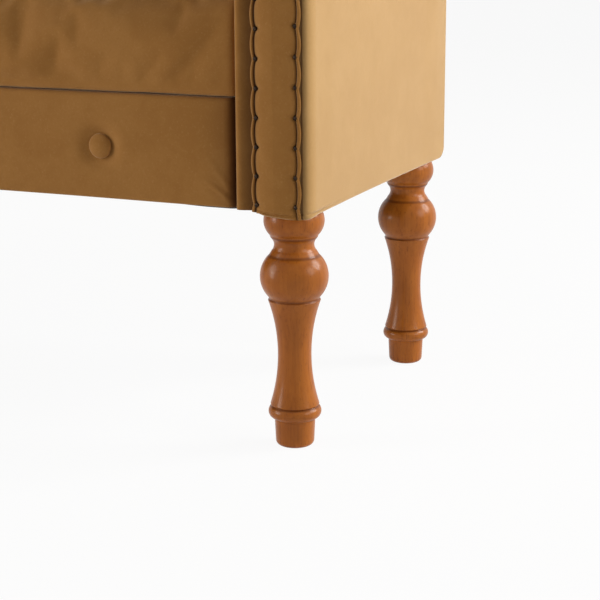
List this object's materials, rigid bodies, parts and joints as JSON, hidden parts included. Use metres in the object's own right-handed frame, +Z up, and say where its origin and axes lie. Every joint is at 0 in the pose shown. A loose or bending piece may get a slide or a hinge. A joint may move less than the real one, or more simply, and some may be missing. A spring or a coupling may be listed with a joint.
{
  "type": "entry bench",
  "caption": "Backless upholstered entry bench with a buttoned seat and border between slim rolled arms with nailed facings, on turned wooden legs.",
  "frame": {"origin": "on the floor, under the middle of the bench", "axes": "+X along the bench to its right end seen from the front, -Y to the front, +Z up"},
  "size_m": [1.308, 0.412, 0.64],
  "materials": {
    "cover": "matte caramel suede-like cloth",
    "leg_wood": "honey-brown stain under satin varnish",
    "frame_wood": "raw sawn pine",
    "hardboard": "raw hardboard",
    "foam": "open-cell foam",
    "webbing": "woven jute webbing",
    "platform_cloth": "plain woven cloth",
    "dust_cloth": "black non-woven cloth",
    "nails": "dark antiqued dome heads",
    "steel": "zinc plated"
  },
  "bodies": {
    "root": {"arm_board_screws": "steel", "arm_cover_left": "cover", "arm_cover_right": "cover", "arm_foam_left": "foam", "arm_foam_right": "foam", "arm_front_board_left": "frame_wood", "arm_front_board_right": "frame_wood", "arm_inner_panel_left": "hardboard", "arm_inner_panel_right": "hardboard", "arm_outer_board_left": "hardboard", "arm_outer_board_right": "hardboard", "arm_rear_board_left": "frame_wood", "arm_rear_board_right": "frame_wood", "arm_tack_batten_left": "frame_wood", "arm_tack_batten_right": "frame_wood", "arm_top_rail_left": "frame_wood", "arm_top_rail_right": "frame_wood", "back_cover": "cover", "back_pad": "foam", "back_rail": "frame_wood", "border_buttons": "cover", "border_cover": "cover", "border_pad": "foam", "dust_cover": "dust_cloth", "facing_nails_left": "nails", "facing_nails_right": "nails", "front_facing_left": "cover", "front_facing_right": "cover", "front_rail": "frame_wood", "left_end_rail": "frame_wood", "leg_block_front_left": "frame_wood", "leg_block_front_right": "frame_wood", "leg_block_rear_left": "frame_wood", "leg_block_rear_right": "frame_wood", "leg_front_left": "leg_wood", "leg_front_right": "leg_wood", "leg_hanger_bolts": "steel", "leg_inserts": "steel", "leg_rear_left": "leg_wood", "leg_rear_right": "leg_wood", "outer_arm_cover_left": "cover", "outer_arm_cover_right": "cover", "platform_cloth": "platform_cloth", "rear_facing_left": "cover", "rear_facing_right": "cover", "right_end_rail": "frame_wood", "seat_buttons": "cover", "seat_cover": "cover", "seat_foam": "foam", "seat_stretchers": "frame_wood", "webbing_cross_straps": "webbing", "webbing_long_straps": "webbing"}
  },
  "joints": []
}
